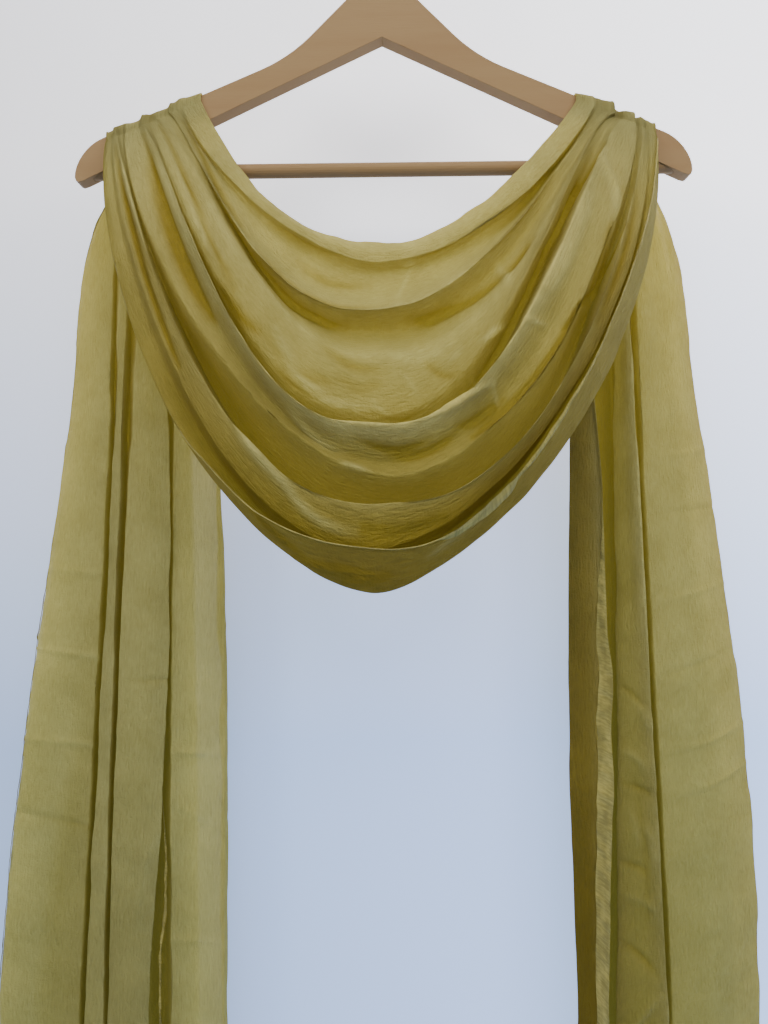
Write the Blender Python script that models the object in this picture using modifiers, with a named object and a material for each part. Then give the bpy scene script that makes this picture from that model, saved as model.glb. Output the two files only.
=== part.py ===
"""Dupatta stole draped as a cowl over a wooden clothes hanger.

The stole's middle hangs in front of the hanger as a deep cowl swag.  It passes over each arm
and falls behind the hanger as a long folded panel on either side.

Frame: +X to the right, the front looks along -Y, +Z is up.  The origin is the inner top of
the hook, where a rail holds the hanger.  Sizes are in millimetres until mesh points are
written, which are in metres.
"""
import math
from collections import namedtuple

import bmesh
import bpy
import numpy as np

MM = 0.001
COLLECTION = "dupatta_stole"

# Hook: round wire, its inner top at the origin
WIRE_RADIUS = 1.8
HOOK_INNER_RADIUS = 20.0
HOOK_LEAVES_AT = -50.0      # degrees round the hook where the wire turns down to the stem
HOOK_TIP_AT = 200.0         # degrees round the hook where the wire ends
STEM_TOP_Z = -52.0
STEM_END_Z = -72.0

# Hanger board: two arms and a domed neck cut from one flat board
BOARD_THICKNESS = 12.0
BOARD_EDGE_RADIUS = 1.2
APEX_Z = -96.7              # underside of the neck
ARM_TIP_X = 220.0
DOME_RADIUS = 32.0
DOME_CENTRE_Z = -90.0
DOME_END = 48.0             # degrees from the top where the dome meets the neck's flank
NECK_FOOT = (52.0, -96.5)
ARM_START = (67.6, -111.1)  # where the neck's flank would cross the arm's top edge
ARM_SLOPE = 0.418
FILLET_END_X = 86.0
TIP_START_X = 200.0         # where the top edge begins to round over to the tip
TIP_DROP = 19.2             # how far below the arm's slope the tip's front corner lies
TIP_CORNER = (219.5, -199.0)
TIP_FOOT = (214.0, -196.4)

# Trouser bar: a dowel seated in a groove under each tip
BAR_RADIUS = 5.0
BAR_Z = -188.8
BAR_HALF_LENGTH = 208.0
FIT_GAP = 0.3

# Cloth
WALL = 1.2                  # thickness of the cloth's wall
CLOTH_LENGTH = 2200.0
ARM_CLEARANCE = 1.1         # middle of the wall above the board's face
OVER_ARM_START = 2.0        # the cloth over the arm starts this far below the arm's top edge
SEAM_RUN = 3.0              # each stretch hangs straight for this far below a seam
BACK_DROP = 34.0            # the cloth over the arm ends this far down behind it
SEAM_GAP = 0.3              # between two stretches of the cloth
LOW_LEVEL = -800.0          # height at which the panels' folds are listed
SWING_BACK = 5.0            # how soon the panels' layers part behind the arms
SWAG_COLUMNS = 44
OVER_ARM_TURN = 3           # facets in the turn over each edge of the arm
PANEL_COLUMNS = 16
ROWS_PER_FOLD = 2
WALL_CRISPNESS = 0.6        # a wall can't turn quite as sharply as the thin cloth
DEPTH_ROUNDNESS = 0.8       # how soon the swag swings forward from the arms

# One row for each fold line of the swag, from its top edge down to its turned-up selvedge.
# left, right: where it leaves the arms, from the middle
# low_x, low_z: its lowest point
# depth: how far in front the cloth hangs there;  tuck: how far the fold is set back from that
# point_l, point_r: how pointed it is at the bottom (2 is a parabola, less is sharper)
# side_l, side_r: how steeply it leaves the arm (1 is straight, less is fuller)
# lift: how high the pleat stands on the arm
# crisp_l, crisp_m, crisp_r: how sharply the cloth turns there, on the left, middle and right
Fold = namedtuple("Fold", "name left right low_x low_z depth tuck point_l side_l point_r side_r lift"
                          " crisp_l crisp_m crisp_r")
SWAG_FOLDS = (
    Fold("top_edge", 129, 137, 10, -247, -16, 0, 2.78, 0.99, 1.60, 0.94, 0.4, 0.0, 0.0, 0.0),
    Fold("top_roll", 141, 149, -5, -263, -25, 0, 1.65, 0.76, 1.91, 0.90, 3.4, 0.7, 0.8, 0.9),
    Fold("valley_1", 148, 153, -6, -283, -33, 10, 2.58, 1.33, 1.83, 1.06, 0.8, 0.0, 0.2, 0.0),
    Fold("lip_1", 151, 157, -8, -297, -38, -2, 2.43, 1.24, 2.02, 1.26, 3.0, 0.9, 0.8, 0.9),
    Fold("valley_2", 156, 160, -1, -312, -42, 13, 2.76, 1.54, 1.96, 1.20, 0.8, 0.0, 0.0, 0.0),
    Fold("lip_2", 161, 163, -12, -332, -47, 0, 2.12, 1.51, 2.61, 1.56, 2.8, 0.9, 0.1, 0.0),
    Fold("bowl_edge", 165, 165, -3, -372, -60, 0, 2.32, 1.11, 2.18, 1.58, 1.8, 0.0, 0.0, 0.9),
    Fold("valley_3", 168, 167.5, -4, -390, -66, 12, 2.45, 1.26, 2.3, 1.52, 1.3, 0.0, 0.0, 0.0),
    Fold("lip_3", 171, 170, -4, -381, -74, -5, 2.57, 1.44, 2.39, 1.47, 3.4, 0.9, 0.9, 0.9),
    Fold("crease_3", 177, 174, -2, -402, -70, 3, 2.10, 1.00, 2.05, 0.95, 1.8, 0.0, 0.5, 0.0),
    Fold("under_3", 182, 178, 0, -412, -70, -1, 1.66, 0.71, 1.83, 0.70, 3.0, 0.3, 0.8, 0.95),
    Fold("valley_4", 185, 180, -4, -447, -68, 18, 2.0, 0.85, 2.1, 0.77, 0.5, 0.0, 0.0, 0.0),
    Fold("lip_4", 188, 183, -3, -430, -75, -4, 2.35, 0.97, 2.31, 0.86, 3.0, 0.9, 0.9, 0.8),
    Fold("under_4", 191, 186, -11, -459, -79, -1, 2.02, 0.79, 1.68, 0.61, 2.4, 0.6, 0.8, 0.9),
    Fold("valley_5", 193, 188, -9, -472, -72, 12, 1.9, 0.70, 1.65, 0.62, 0.5, 0.0, 0.0, 0.0),
    Fold("bottom", 196, 192, -11, -486, -72, 2, 1.61, 0.57, 1.53, 0.54, 1.4, 0.5, 0.3, 0.5),
    Fold("selvedge", 196, 193, 2, -457, -82, -6, 2.39, 0.65, 1.90, 0.83, 4.2, 0.0, 0.0, 0.0),
)

# Deep places between the folds.
# at, reach: where along the fold line, and how far to each side, as parts of its length
# back, out, up: how far the fold line is pushed back, away from the middle and up there
Pocket = namedtuple("Pocket", "fold at reach back out up")
POCKETS = (
    Pocket("valley_1", 0.82, 0.11, 10, 0, 0),
    Pocket("valley_3", 0.80, 0.12, 14, 0, 3),
    Pocket("under_3", 0.83, 0.09, 0, -5, 0),
    Pocket("valley_4", 0.80, 0.08, 0, -2, 0),
    Pocket("valley_5", 0.72, 0.10, 8, 0, 0),
    Pocket("selvedge", 0.86, 0.12, -4, 2, 0),
)

# One row for each fold of a hanging panel, in the same order as the swag's folds.
# x, y: where the fold hangs from LOW_LEVEL down
# bend: how soon it gets there (1 is a straight line);  crisp: how sharply the cloth turns there
Hang = namedtuple("Hang", "x y bend crisp")
LEFT_HANGS = (
    Hang(-129, 39, 2.6, 0.5), Hang(-126, 34, 3.0, 0.9), Hang(-145, 23, 4.0, 0.3),
    Hang(-155, 20, 3.0, 0.0), Hang(-166, 18, 2.0, 0.8), Hang(-174, 28, 1.6, 0.3),
    Hang(-203, 37, 1.2, 0.0), Hang(-199, 27, 1.3, 0.0), Hang(-184, 19, 1.2, 0.95),
    Hang(-200, 10, 1.0, 0.3), Hang(-218, 19, 1.0, 0.9), Hang(-227, 10, 1.0, 0.6),
    Hang(-237, 19, 1.0, 0.9), Hang(-248, 11, 1.0, 0.6), Hang(-274, 12, 1.1, 0.0),
    Hang(-298, 16, 1.2, 0.9), Hang(-300, 21, 1.2, 0.0),
)
RIGHT_HANGS = (
    Hang(143, 37, 3.0, 0.0), Hang(140, 31, 3.0, 0.6), Hang(148, 22, 3.0, 0.6),
    Hang(163, 24, 3.0, 0.3), Hang(174, 35, 2.5, 0.0), Hang(184, 39, 1.9, 0.0),
    Hang(183, 31, 1.7, 0.0), Hang(168, 21, 1.6, 0.2), Hang(186, 13, 1.3, 0.0),
    Hang(204, 9, 1.2, 0.95), Hang(211, 19, 1.2, 0.9), Hang(228, 14, 1.2, 0.3),
    Hang(250, 13, 1.3, 0.0), Hang(268, 15, 1.4, 0.0), Hang(280, 21, 1.5, 0.9),
    Hang(271, 29, 1.5, 0.0), Hang(255, 33, 1.5, 0.0),
)

# Colours, linear RGB
OLIVE_CHIFFON = (0.36, 0.29, 0.08)
TAN_WOOD = (0.44, 0.29, 0.17)
STEEL = (0.62, 0.62, 0.63)


def make_material(name, colour, roughness, metallic=0.0):
    """A Principled material of one plain colour."""
    material = bpy.data.materials.new(name)
    material.use_nodes = True
    shader = material.node_tree.nodes["Principled BSDF"]
    shader.inputs["Base Color"].default_value = (*colour, 1.0)
    shader.inputs["Roughness"].default_value = roughness
    shader.inputs["Metallic"].default_value = metallic
    return material


def add_object(name, data, material, collection):
    """Link a named object with its own material into the part's collection."""
    data.materials.append(material)
    thing = bpy.data.objects.new(name, data)
    collection.objects.link(thing)
    return thing


def curve_to_mesh(thing, collection):
    """Replace a curve object by its evaluated mesh, its caps welded on."""
    bpy.context.view_layer.update()
    evaluated = thing.evaluated_get(bpy.context.evaluated_depsgraph_get())
    mesh = bpy.data.meshes.new_from_object(evaluated)
    work = bmesh.new()
    work.from_mesh(mesh)
    bmesh.ops.remove_doubles(work, verts=work.verts, dist=0.00001)
    work.to_mesh(mesh)
    work.free()
    solid = bpy.data.objects.new(thing.name + "_solid", mesh)
    solid.matrix_world = thing.matrix_world
    name = thing.name
    bpy.data.objects.remove(thing)
    collection.objects.link(solid)
    solid.name = name
    return solid


# ---------------------------------------------------------------- hanger

def arm_top(x):
    """Height of the arms' top edge at a distance x from the middle."""
    return ARM_START[1] - (np.abs(x) - ARM_START[0]) * ARM_SLOPE


def quadratic(start, control, end, count):
    """Points of a quadratic Bezier curve, without its first."""
    t = np.linspace(0.0, 1.0, count + 1)[1:, None]
    start, control, end = (np.array(p, float) for p in (start, control, end))
    return (1 - t) ** 2 * start + 2 * t * (1 - t) * control + t ** 2 * end


def board_outline():
    """Outline of the board's right half, from the dome's top to the apex under the neck."""
    turn = np.radians(np.linspace(0.0, DOME_END, 8))
    dome = np.column_stack((DOME_RADIUS * np.sin(turn),
                            DOME_CENTRE_Z + DOME_RADIUS * np.cos(turn)))
    fillet = quadratic(NECK_FOOT, ARM_START, (FILLET_END_X, arm_top(FILLET_END_X)), 6)
    turn = np.radians(np.linspace(0.0, 90.0, 9))
    width = ARM_TIP_X - TIP_START_X
    x = TIP_START_X + width * np.sin(turn)
    tip = np.column_stack((x, arm_top(x) - TIP_DROP * (1.0 - np.cos(turn))))
    corner = quadratic(tip[-1], TIP_CORNER, TIP_FOOT, 3)
    return np.vstack((dome, [NECK_FOOT], fillet, tip, corner, [(0.0, APEX_Z)]))


def build_board(material, collection, cutters):
    """The flat board, with the bar's grooves and the hook's hole cut in it."""
    half = board_outline()
    mirrored = half[1:-1][::-1] * (-1.0, 1.0)
    outline = np.vstack((half, mirrored)) * MM
    curve = bpy.data.curves.new("hanger_board", "CURVE")
    curve.dimensions = "2D"
    curve.fill_mode = "BOTH"
    curve.extrude = BOARD_THICKNESS / 2 * MM
    spline = curve.splines.new("POLY")
    spline.points.add(len(outline) - 1)
    for point, (x, z) in zip(spline.points, outline):
        point.co = (x, z, 0.0, 1.0)
    spline.use_cyclic_u = True
    flat = add_object("hanger_board", curve, material, collection)
    flat.rotation_euler = (math.pi / 2, 0.0, 0.0)
    board = curve_to_mesh(flat, collection)

    edges = board.modifiers.new("rounded_edges", "BEVEL")
    edges.width = BOARD_EDGE_RADIUS * MM
    edges.segments = 2
    edges.limit_method = "ANGLE"
    edges.angle_limit = math.radians(60.0)

    groove = cylinder("bar_groove", BAR_RADIUS + FIT_GAP, 2 * (BAR_HALF_LENGTH + FIT_GAP), cutters)
    groove.rotation_euler = (0.0, math.pi / 2, 0.0)
    groove.location = (0.0, 0.0, BAR_Z * MM)
    hole_length = 20.0
    hole = cylinder("hook_hole", WIRE_RADIUS + FIT_GAP, hole_length, cutters)
    hole.location = (0.0, 0.0, (STEM_END_Z - FIT_GAP + hole_length / 2) * MM)
    for cutter in (groove, hole):
        cut = board.modifiers.new(cutter.name, "BOOLEAN")
        cut.operation = "DIFFERENCE"
        cut.object = cutter
    return board


def cylinder(name, radius, length, collection):
    """A hidden cylinder along Z that cuts other pieces."""
    work = bmesh.new()
    bmesh.ops.create_cone(work, cap_ends=True, segments=24, radius1=radius * MM,
                          radius2=radius * MM, depth=length * MM)
    mesh = bpy.data.meshes.new(name)
    work.to_mesh(mesh)
    work.free()
    thing = bpy.data.objects.new(name, mesh)
    thing.hide_render = True
    thing.display_type = "WIRE"
    collection.objects.link(thing)
    return thing


def build_bar(material, collection):
    """The round trouser bar between the two grooves."""
    work = bmesh.new()
    bmesh.ops.create_cone(work, cap_ends=True, segments=20, radius1=BAR_RADIUS * MM,
                          radius2=BAR_RADIUS * MM, depth=2 * BAR_HALF_LENGTH * MM)
    mesh = bpy.data.meshes.new("hanger_bar")
    work.to_mesh(mesh)
    work.free()
    bar = add_object("hanger_bar", mesh, material, collection)
    bar.rotation_euler = (0.0, math.pi / 2, 0.0)
    bar.location = (0.0, 0.0, BAR_Z * MM)
    return bar


def hook_path():
    """Centre line of the hook's wire, from its tip round to the foot of its stem."""
    radius = HOOK_INNER_RADIUS + WIRE_RADIUS
    angles = np.radians(np.linspace(HOOK_TIP_AT, HOOK_LEAVES_AT, 26))
    ring = np.column_stack((radius * np.cos(angles),
                            -HOOK_INNER_RADIUS + radius * np.sin(angles)))
    turn_in = quadratic(ring[-1], (1.0, -44.5), (0.0, STEM_TOP_Z), 6)
    return np.vstack((ring, turn_in, [(0.0, STEM_END_Z)]))


def build_hook(material, collection):
    """The wire hook and its stem, which stands in the neck's hole."""
    path = hook_path() * MM
    curve = bpy.data.curves.new("hanger_hook", "CURVE")
    curve.dimensions = "3D"
    curve.bevel_depth = WIRE_RADIUS * MM
    curve.bevel_resolution = 2
    curve.use_fill_caps = True
    spline = curve.splines.new("POLY")
    spline.points.add(len(path) - 1)
    for point, (x, z) in zip(spline.points, path):
        point.co = (x, 0.0, z, 1.0)
    return curve_to_mesh(add_object("hanger_hook", curve, material, collection), collection)


# ---------------------------------------------------------------- cloth

def even_spacing(points, count):
    """The same line at count + 1 points, spaced evenly along its length."""
    steps = np.linalg.norm(np.diff(points, axis=0), axis=1)
    along = np.concatenate(([0.0], np.cumsum(steps)))
    wanted = np.linspace(0.0, along[-1], count + 1)
    return np.column_stack([np.interp(wanted, along, axis) for axis in points.T])


def fold_crispness(fold, count):
    """How sharply the cloth turns along a swag's fold line, eased between its three values."""
    return np.interp(np.linspace(0.0, 1.0, count), (0.0, 0.2, 0.5, 0.8, 1.0),
                     (fold.crisp_l, fold.crisp_l, fold.crisp_m, fold.crisp_r, fold.crisp_r))


def between_folds(lines, crisp, extra):
    """Add rows between fold lines on a centripetal Catmull-Rom curve through them.

    crisp shortens the curve's tangents at a fold line, so at 1 the cloth has a crease there.
    """
    lines = np.asarray(lines)
    soft = 1.0 - np.asarray(crisp)[..., None]
    before = 2 * lines[0] - lines[1]
    after = 2 * lines[-1] - lines[-2]
    padded = np.concatenate(([before], lines, [after]))
    rows = [lines[0]]
    for row in range(len(lines) - 1):
        a, b, c, d = padded[row:row + 4]
        step = [np.sqrt(np.linalg.norm(q - p, axis=1, keepdims=True)) + 1e-9
                for p, q in ((a, b), (b, c), (c, d))]
        leave = ((b - a) / step[0] - (c - a) / (step[0] + step[1]) + (c - b) / step[1]) * step[1]
        arrive = ((c - b) / step[1] - (d - b) / (step[1] + step[2]) + (d - c) / step[2]) * step[1]
        leave, arrive = leave * soft[row], arrive * soft[row + 1]
        for t in np.linspace(0.0, 1.0, extra + 1)[1:]:
            rows.append((2 * t ** 3 - 3 * t ** 2 + 1) * b + (t ** 3 - 2 * t ** 2 + t) * leave
                        + (3 * t ** 2 - 2 * t ** 3) * c + (t ** 3 - t ** 2) * arrive)
    return np.array(rows)


def swag_line(fold, count):
    """One fold line, hanging from the left arm to its lowest point and up to the right arm."""
    clear = BOARD_THICKNESS / 2 + ARM_CLEARANCE + fold.lift
    angle = np.linspace(0.0, math.pi / 2, 90)
    across = np.cos(angle)
    halves = []
    for end, point, side in ((-fold.left, fold.point_l, fold.side_l),
                             (fold.right, fold.point_r, fold.side_r)):
        start_z = arm_top(end) - OVER_ARM_START - SEAM_GAP - SEAM_RUN
        x = fold.low_x + (end - fold.low_x) * across
        z = start_z + (fold.low_z - start_z) * (1.0 - across ** point) ** side
        halves.append(np.column_stack((x, z)))
    left, right = halves
    line = even_spacing(np.vstack((left, right[-2::-1])), count)
    part = np.linspace(0.0, 1.0, count + 1)
    swing = np.sin(math.pi * part)
    y = -clear + (fold.depth + clear) * swing ** DEPTH_ROUNDNESS + fold.tuck * swing ** 2
    x, z = line.T.copy()
    for pocket in POCKETS:
        if pocket.fold == fold.name:
            inside = np.exp(-((part - pocket.at) / pocket.reach) ** 2) * np.minimum(4 * swing, 1.0)
            x += pocket.out * inside * (1 if pocket.at > 0.5 else -1)
            y += pocket.back * inside
            z += pocket.up * inside
    hanging = np.column_stack((x, np.minimum(y, -clear), z))
    up = (0.0, 0.0, SEAM_RUN)
    return np.vstack((hanging[0] + up, hanging, hanging[-1] + up))


def over_arm_line(fold, side):
    """One fold line from the front of an arm over its top and down behind it."""
    x = side * (fold.left if side < 0 else fold.right)
    top = arm_top(x)
    clear = ARM_CLEARANCE + fold.lift
    radius = BOARD_EDGE_RADIUS + clear
    corner_y = BOARD_THICKNESS / 2 - BOARD_EDGE_RADIUS
    corner_z = top - BOARD_EDGE_RADIUS
    turn = np.radians(np.linspace(0.0, 90.0, OVER_ARM_TURN + 1))
    front = np.column_stack((-corner_y - radius * np.cos(turn), corner_z + radius * np.sin(turn)))
    back = np.column_stack((corner_y + radius * np.sin(turn), corner_z + radius * np.cos(turn)))
    behind = BOARD_THICKNESS / 2 + clear
    first = (-behind, top - OVER_ARM_START)
    ends = [(behind, top - BACK_DROP * t) for t in (0.4, 0.7, 1.0)]
    section = np.vstack(([first], front, back, ends))
    return np.column_stack((np.full(len(section), x), section))


def panel_line(fold, hang, side, drop, count):
    """One fold line of a panel, from behind the arm down to the hem."""
    x0 = side * (fold.left if side < 0 else fold.right)
    y0 = BOARD_THICKNESS / 2 + ARM_CLEARANCE + fold.lift
    z0 = arm_top(x0) - BACK_DROP - SEAM_GAP - SEAM_RUN
    z = np.linspace(z0, z0 - drop, count + 1)
    level = (z0 - z) / (z0 - LOW_LEVEL)
    still = 1.0 - np.minimum(level, 1.0)
    x = x0 + (hang.x - x0) * (1.0 - still ** hang.bend)
    y = y0 + (hang.y - y0) * (1.0 - still ** SWING_BACK)
    return np.vstack(([(x0, y0, z0 + SEAM_RUN)], np.column_stack((x, y, z))))


def line_length(line):
    """Length of a line of points."""
    return np.linalg.norm(np.diff(line, axis=0), axis=1).sum()


def panel_drops():
    """Length left for each fold line of a panel once the swag and the arms have taken theirs."""
    over_arm = line_length(over_arm_line(SWAG_FOLDS[0], 1))
    inner, outer = ((CLOTH_LENGTH - line_length(swag_line(fold, 60))) / 2 - over_arm
                    for fold in (SWAG_FOLDS[0], SWAG_FOLDS[-2]))
    return np.linspace(inner, outer, len(SWAG_FOLDS))


def build_cloth(name, lines, crisp, material, collection):
    """A wall of cloth through fold lines: an open grid of faces, thickened."""
    crisp = np.array([np.broadcast_to(value, len(lines[0])) for value in crisp])
    grid = between_folds(lines, WALL_CRISPNESS * crisp, ROWS_PER_FOLD) * MM
    rows, columns = grid.shape[:2]
    corner = np.arange(rows * columns).reshape(rows, columns)
    faces = np.stack((corner[:-1, :-1], corner[:-1, 1:], corner[1:, 1:], corner[1:, :-1]), axis=-1)
    mesh = bpy.data.meshes.new(name)
    mesh.from_pydata(grid.reshape(-1, 3).tolist(), [], faces.reshape(-1, 4).tolist())
    mesh.shade_smooth()
    cloth = add_object(name, mesh, material, collection)
    wall = cloth.modifiers.new("wall", "SOLIDIFY")
    wall.thickness = WALL * MM
    wall.offset = 0.0
    return cloth


def main():
    """Build every piece of the stole and its hanger."""
    for thing in list(bpy.data.objects):
        bpy.data.objects.remove(thing)
    part = bpy.data.collections.new(COLLECTION)
    cutters = bpy.data.collections.new(COLLECTION + "_cutters")
    for collection in (part, cutters):
        bpy.context.scene.collection.children.link(collection)

    wood = make_material("tan_wood", TAN_WOOD, 0.5)
    bar_wood = make_material("bar_wood", TAN_WOOD, 0.45)
    steel = make_material("hook_steel", STEEL, 0.3, 1.0)
    build_board(wood, part, cutters)
    build_bar(bar_wood, part)
    build_hook(steel, part)

    def chiffon(piece):
        return make_material(piece + "_chiffon", OLIVE_CHIFFON, 0.8)

    swag = [swag_line(fold, SWAG_COLUMNS) for fold in SWAG_FOLDS]
    crisp = [fold_crispness(fold, len(swag[0])) for fold in SWAG_FOLDS]
    build_cloth("swag", swag, crisp, chiffon("swag"), part)
    drops = panel_drops()
    for name, side, hangs in (("left", -1, LEFT_HANGS), ("right", 1, RIGHT_HANGS)):
        over = [over_arm_line(fold, side) for fold in SWAG_FOLDS]
        crisp = [fold.crisp_l if side < 0 else fold.crisp_r for fold in SWAG_FOLDS]
        build_cloth(name + "_shoulder", over, crisp, chiffon(name + "_shoulder"), part)
        panel = [panel_line(fold, hang, side, drop, PANEL_COLUMNS)
                 for fold, hang, drop in zip(SWAG_FOLDS, hangs, drops)]
        crisp = [hang.crisp for hang in hangs]
        build_cloth(name + "_panel", panel, crisp, chiffon(name + "_panel"), part)


if __name__ == "__main__":
    main()
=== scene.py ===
"""Finish a dupatta stole that hangs as a cowl over a wooden clothes hanger.

The stole is one sheet of sheer crinkled chiffon.  Each stretch of it is a thin shell worked out
as a function of two parameters: how far along the cloth a point lies, and on which fold line
across it.  The hanger's own solids stay and get wood and steel finishes.
Sizes in the tables are millimetres; meshes are written in metres.
"""
import math
from collections import namedtuple

import bpy
import numpy as np
from bpy.props import FloatProperty, FloatVectorProperty, IntProperty, PointerProperty
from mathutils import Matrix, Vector


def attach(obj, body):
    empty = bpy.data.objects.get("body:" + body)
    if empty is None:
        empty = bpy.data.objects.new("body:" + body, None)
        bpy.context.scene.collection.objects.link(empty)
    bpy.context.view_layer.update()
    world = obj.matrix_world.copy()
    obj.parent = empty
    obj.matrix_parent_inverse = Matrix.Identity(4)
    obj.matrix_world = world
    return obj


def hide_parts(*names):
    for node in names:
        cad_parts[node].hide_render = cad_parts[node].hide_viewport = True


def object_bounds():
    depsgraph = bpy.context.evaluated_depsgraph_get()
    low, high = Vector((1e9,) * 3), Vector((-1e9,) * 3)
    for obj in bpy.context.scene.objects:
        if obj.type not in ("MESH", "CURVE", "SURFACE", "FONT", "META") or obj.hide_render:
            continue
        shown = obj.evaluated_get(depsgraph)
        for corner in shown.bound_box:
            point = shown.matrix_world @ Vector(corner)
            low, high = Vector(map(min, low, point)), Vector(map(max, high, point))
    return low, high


bl_info = {
    "name": "Cowl Draped Dupatta Stole",
    "version": (1, 0, 0),
    "blender": (4, 5, 0),
    "location": "3D View > Sidebar > Stole",
    "description": "Drapes a sheer crinkled stole over a wooden hanger and finishes every surface",
    "category": "Object",
}

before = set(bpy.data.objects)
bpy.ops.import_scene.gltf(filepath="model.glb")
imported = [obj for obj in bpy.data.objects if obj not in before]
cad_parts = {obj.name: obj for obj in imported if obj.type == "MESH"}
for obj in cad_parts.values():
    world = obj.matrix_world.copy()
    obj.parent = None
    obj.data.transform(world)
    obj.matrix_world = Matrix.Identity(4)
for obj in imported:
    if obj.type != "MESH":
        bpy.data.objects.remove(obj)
CAD_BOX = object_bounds()

MM = 0.001
BODY = "root"

# Hanger sizes that the cloth follows
BOARD_THICKNESS = 12.0
BOARD_EDGE_RADIUS = 1.2
ARM_START = (67.6, -111.1)
ARM_SLOPE = 0.418

# Drape of the cloth
ARM_CLEARANCE = 1.1
OVER_ARM_START = 2.0
SEAM_RUN = 3.0
BACK_DROP = 34.0
CLOTH_LENGTH = 2200.0
LOW_LEVEL = -800.0
SWING_BACK = 5.0
DEPTH_ROUNDNESS = 0.8
LINE_SAMPLES = 400
# Painted highlight and shade of creases: per millimetre of height, ridges get a higher sheer value
# and troughs a lower one
CREASE_PAINTED_SHADING = 0.15
# Painted shade in the pockets between folds: how far it spreads across the folds and how far it
# lowers the sheer value
POCKET_SPREAD = 0.7
POCKET_PAINTED_SHADE = 0.22
EVEN_SHEER = 0.36
PALE_EDGE = 2.6
PANEL_PAINTED_SHADING = 0.35         # how much less the painted highlight and shade of creases show on the panels
HIGH_PAINTED_SHADE = -0.05         # painted shade: how much the panels' sheer value drops just below the arms (below zero it paints light)
LOW_PAINTED_SHADE = 0.17           # and at their hems, painting shade that deepens towards the bottom
ARM_LOOSENESS = 0.35        # how loose the cloth is on the arms, as a part of its middle's
OVER_ARM_COLUMNS = 26
LONG_CREASE = 0.13          # creases from this length up need more samples
SHORT_SAMPLES = 25
LONG_SAMPLES = 150
CREASE_REACH = 12           # in columns

# Smooth random waves in the cloth: their length, their breadth and how far they reach
Wave = namedtuple("Wave", "length breadth reach")
BILLOWS = Wave(38.0, 26.0, 0.9)
WRINKLES = Wave(11.0, 8.0, 0.3)
FOLD_WANDER = Wave(24.0, 30.0, 0.8)
EDGE_WANDER = Wave(34.0, 1.0, 1.8)
STRIP_WANDER = Wave(9.0, 1.0, 1.0)
PUCKERS = Wave(5.0, 4.0, 1.0)

# Woven edges
STRIP_ROWS = 8
STRIP_LIFT = 0.45
STRIP_ARCH = 0.5
STRIP_SHEER = 0.3
STRIP_REACH = 22            # the cloth's outermost rows that a panel's woven edge lies on

# Materials
NODE_STEP = 300.0           # from one column of shader nodes to the next
FEW_LAYERS = 0.4            # the sheer value under which the cloth's colour deepens
CLOSED_SHARE = 0.55         # how much of a single layer's light passes through many
THREAD_HEIGHT = 0.0004      # in metres
PORE_DEPTH = 0.0002         # in metres
BAR_PAINTED_SHADE = 0.92            # painted shade: the bar's colour, as a share of the board's
THREAD_SHADE = 0.52         # the selvedge's darkest threads

# Stage: sizes in metres, the lens in millimetres
LENS = 27.04
CAMERA_SIDE = -0.0027
CAMERA_ROLL = math.radians(0.7)
WALL_HALF = 1.6
WALL_TOP = 0.9
FLOOR_HALF = 2.5
FLOOR_DROP = 0.5
LOW_SKY = (0.10, 0.11, 0.13)
HIGH_SKY = (0.88, 0.93, 1.0)
LAMP_COLOUR = (1.0, 0.995, 0.985)
LAMP_TARGET = (0.0, 0.0, -0.40)
Lamp = namedtuple("Lamp", "name place size power")
LAMPS = [Lamp(*row) for row in (
    ("key_left", (-0.80, -0.72, 0.16), 0.35, "key_power"),
    ("key_right", (0.80, -0.72, 0.16), 0.35, "key_power"),
    ("top_light", (0.0, -1.0, 0.78), 1.7, "top_power"),
)]
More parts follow.
